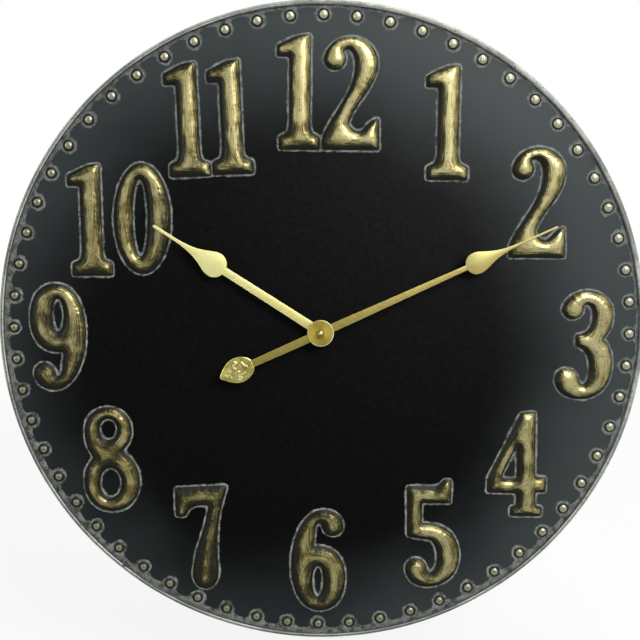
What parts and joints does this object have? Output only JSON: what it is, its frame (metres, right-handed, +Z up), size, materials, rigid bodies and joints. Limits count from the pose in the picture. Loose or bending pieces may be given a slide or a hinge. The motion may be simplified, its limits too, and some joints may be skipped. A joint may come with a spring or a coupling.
{
  "type": "wall clock",
  "caption": "Round wall clock with an embossed sheet metal dial, spade hands and a quartz movement behind, hung by a keyhole.",
  "frame": {"origin": "middle of the round entry of the hanger's keyhole, on the wall plane", "axes": "+Z up, +Y from the dial back to the wall, +X to the right for someone who looks at the dial"},
  "size_m": [0.6, 0.0523, 0.6],
  "materials": {
    "painted_steel": "satin black paint on pressed sheet steel, gold rubbed on the crests",
    "rim_steel": "worn paint over bare sheet steel",
    "zinc_steel": "zinc plated",
    "rubber": "matt",
    "brass": "turned",
    "pale_brass": "brushed, pale lacquer",
    "gold_brass": "brushed",
    "hammered_brass": "hammered",
    "case_plastic": "fine moulded texture",
    "pale_plastic": "moulded acetal",
    "bright_steel": "ground",
    "magnet": "matt",
    "copper_wire": "enamelled copper wire",
    "board": "solder mask",
    "resin": "epoxy blob",
    "cell_sleeve": "plain sleeve"
  },
  "bodies": {
    "clock_case": {"dial_plate": "painted_steel", "rim_band": "rim_steel", "hanger_bracket": "zinc_steel", "hanger_rivets": "zinc_steel", "rubber_washer": "rubber", "front_washer": "brass", "fixing_nut": "brass", "centre_bush": "brass", "movement_case_front": "case_plastic", "movement_case_back": "case_plastic", "gear_plate": "pale_plastic", "stator": "bright_steel", "coil_core": "bright_steel", "coil_bobbin": "pale_plastic", "coil_winding": "copper_wire", "stator_screws": "zinc_steel", "circuit_board": "board", "chip_blob": "resin", "quartz_crystal": "bright_steel", "battery_cell": "cell_sleeve", "positive_contact": "zinc_steel", "negative_contact": "zinc_steel"},
    "minute_group": {"minute_arbor": "bright_steel", "minute_hand": "gold_brass", "minute_hand_bush": "brass", "tail_weight": "hammered_brass", "hub_disc": "gold_brass", "cap_nut": "brass"},
    "hour_group": {"hour_wheel": "brass", "hour_hand": "pale_brass", "hour_hand_bush": "brass"},
    "motion_wheel": {"motion_wheel": "pale_plastic"},
    "setting_knob": {"setting_knob": "case_plastic"},
    "centre_wheel": {"centre_wheel": "pale_plastic"},
    "third_wheel": {"third_wheel": "pale_plastic"},
    "second_wheel": {"second_wheel": "pale_plastic"},
    "intermediate_wheel": {"intermediate_wheel": "pale_plastic"},
    "rotor": {"rotor": "magnet"}
  },
  "joints": [
    {"name": "minute_hand_turn", "type": "hinge", "parent": "clock_case", "child": "minute_group", "pos_m": [0, 0, -0.258], "axis": [0, 1, 0], "continuous": true},
    {"name": "hour_hand_turn", "type": "hinge", "parent": "clock_case", "child": "hour_group", "pos_m": [0, 0, -0.258], "axis": [0, 1, 0], "continuous": true},
    {"name": "motion_wheel_turn", "type": "hinge", "parent": "clock_case", "child": "motion_wheel", "pos_m": [-0.00902, 0, -0.26128], "axis": [0, 1, 0], "continuous": true},
    {"name": "setting_knob_turn", "type": "hinge", "parent": "clock_case", "child": "setting_knob", "pos_m": [-0.01804, 0, -0.26457], "axis": [0, 1, 0], "continuous": true},
    {"name": "second_wheel_turn", "type": "hinge", "parent": "clock_case", "child": "second_wheel", "pos_m": [0, 0, -0.258], "axis": [0, 1, 0], "continuous": true},
    {"name": "centre_wheel_turn", "type": "hinge", "parent": "clock_case", "child": "centre_wheel", "pos_m": [0, 0, -0.258], "axis": [0, 1, 0], "continuous": true},
    {"name": "third_wheel_turn", "type": "hinge", "parent": "clock_case", "child": "third_wheel", "pos_m": [0.0115, 0, -0.25381], "axis": [0, 1, 0], "continuous": true},
    {"name": "intermediate_wheel_turn", "type": "hinge", "parent": "clock_case", "child": "intermediate_wheel", "pos_m": [-0.01068, 0, -0.25184], "axis": [0, 1, 0], "continuous": true},
    {"name": "rotor_turn", "type": "hinge", "parent": "clock_case", "child": "rotor", "pos_m": [-0.01314, 0, -0.24507], "axis": [0, 1, 0], "continuous": true}
  ],
  "couplings": [
    {"joint": "motion_wheel_turn", "follows": "minute_hand_turn", "ratio": -0.33333},
    {"joint": "hour_hand_turn", "follows": "minute_hand_turn", "ratio": 0.083333},
    {"joint": "setting_knob_turn", "follows": "minute_hand_turn", "ratio": 1},
    {"joint": "centre_wheel_turn", "follows": "second_wheel_turn", "ratio": 0.016667},
    {"joint": "third_wheel_turn", "follows": "second_wheel_turn", "ratio": -0.13333},
    {"joint": "intermediate_wheel_turn", "follows": "second_wheel_turn", "ratio": -6},
    {"joint": "rotor_turn", "follows": "second_wheel_turn", "ratio": 30}
  ]
}
